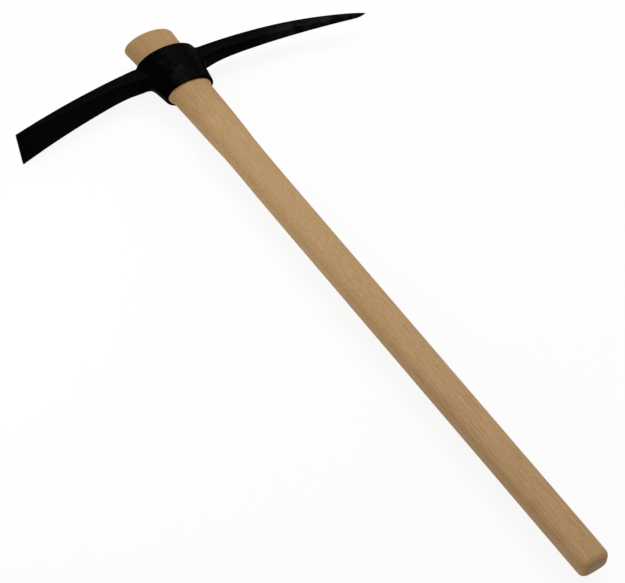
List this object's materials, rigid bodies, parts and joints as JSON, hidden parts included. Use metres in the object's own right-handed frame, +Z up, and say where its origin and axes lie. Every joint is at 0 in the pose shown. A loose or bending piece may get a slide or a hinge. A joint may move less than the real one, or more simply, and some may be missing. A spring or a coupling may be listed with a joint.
{
  "type": "pick axe",
  "caption": "Pick axe with a curved forged head, pointed at one end and chisel-edged at the other, slipped on a straight wooden handle that flares to fill its oval eye.",
  "frame": {"origin": "middle of the tool's footprint, on the surface that it lies on, with the tool on its side", "axes": "+X along the head towards the point, +Y along the handle from the butt to the head, +Z up, square to the plane of the head and the handle"},
  "size_m": [0.477, 0.9, 0.0515],
  "materials": {
    "black_paint": "satin black paint over forged steel",
    "handle_wood": "pale straight-grained hardwood, sanded and bare"
  },
  "bodies": {
    "handle": {"handle": "handle_wood"},
    "head": {"pick_head": "black_paint"}
  },
  "joints": [
    {"name": "head_slide", "type": "slide", "parent": "handle", "child": "head", "axis": [0, -1, 0], "range_m": [0, 0.87]}
  ]
}
